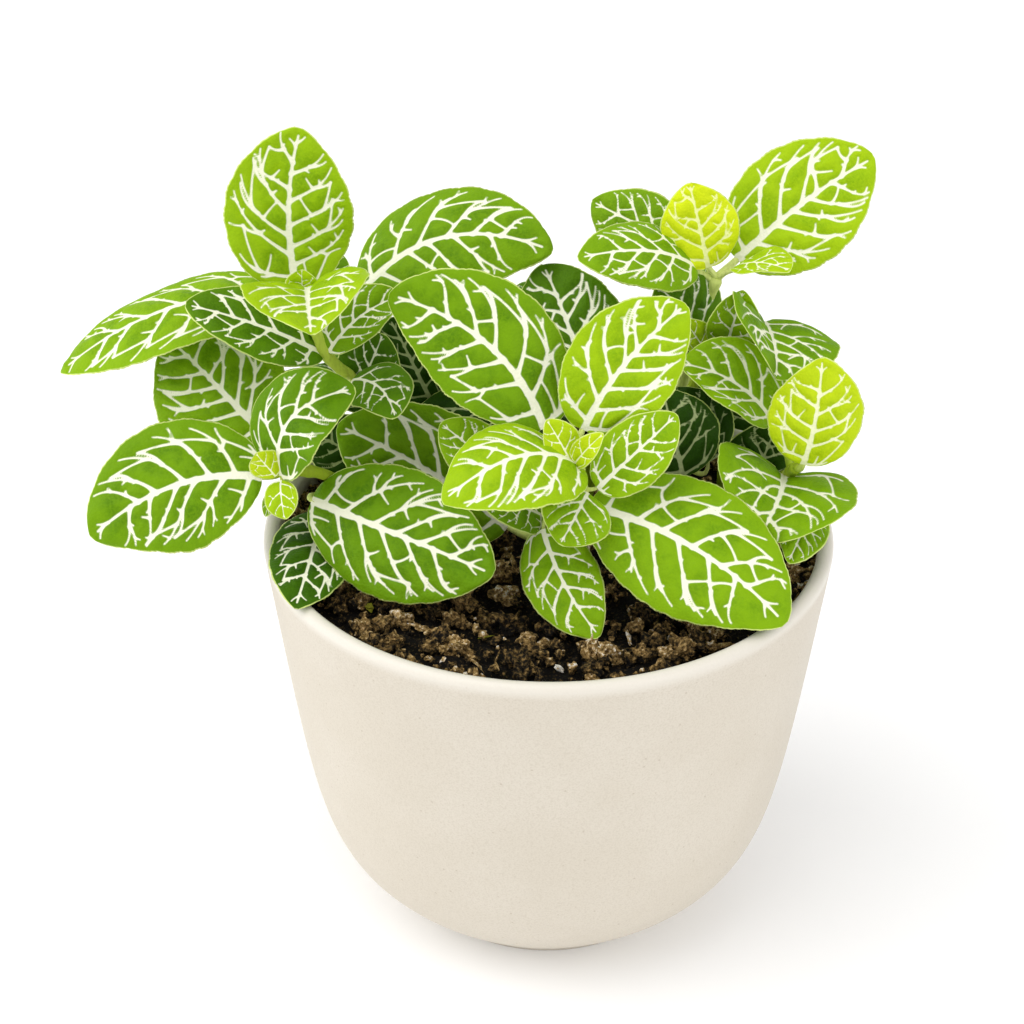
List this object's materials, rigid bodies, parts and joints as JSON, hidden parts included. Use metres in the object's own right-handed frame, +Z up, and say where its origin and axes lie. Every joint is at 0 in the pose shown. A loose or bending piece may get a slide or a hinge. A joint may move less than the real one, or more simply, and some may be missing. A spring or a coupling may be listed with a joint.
{
  "type": "potted nerve plant",
  "caption": "Low bushy house plant with oval leaves netted in cream-white veins, rooted in dark potting soil in a plain round cream ceramic pot with a narrow foot.",
  "frame": {"origin": "middle of the pot's flat underside, where it rests", "axes": "+Z up, +X to the right in the picture's view, +Y away from the viewer"},
  "size_m": [0.1845, 0.1315, 0.1921],
  "materials": {
    "pot": "matte, finely speckled, with a soft sheen on the lip",
    "soil": "crumbly, dull",
    "leaf_green": "satin, finely quilted, with raised cream veins",
    "leaf_bright": "satin, finely quilted, with raised cream veins",
    "leaf_deep": "satin, finely quilted, with raised cream veins"
  },
  "bodies": {
    "root": {"pot": "pot", "soil": "soil", "stem_upper_left": "leaf_green", "stem_lower_left": "leaf_green", "stem_front": "leaf_bright", "stem_upper_middle": "leaf_green", "stem_middle": "leaf_deep", "stem_upper_right": "leaf_bright", "stem_mid_right": "leaf_deep", "stem_right": "leaf_green", "stem_back_left": "leaf_deep", "stem_back_middle": "leaf_deep", "stem_back_right": "leaf_deep"}
  },
  "joints": []
}
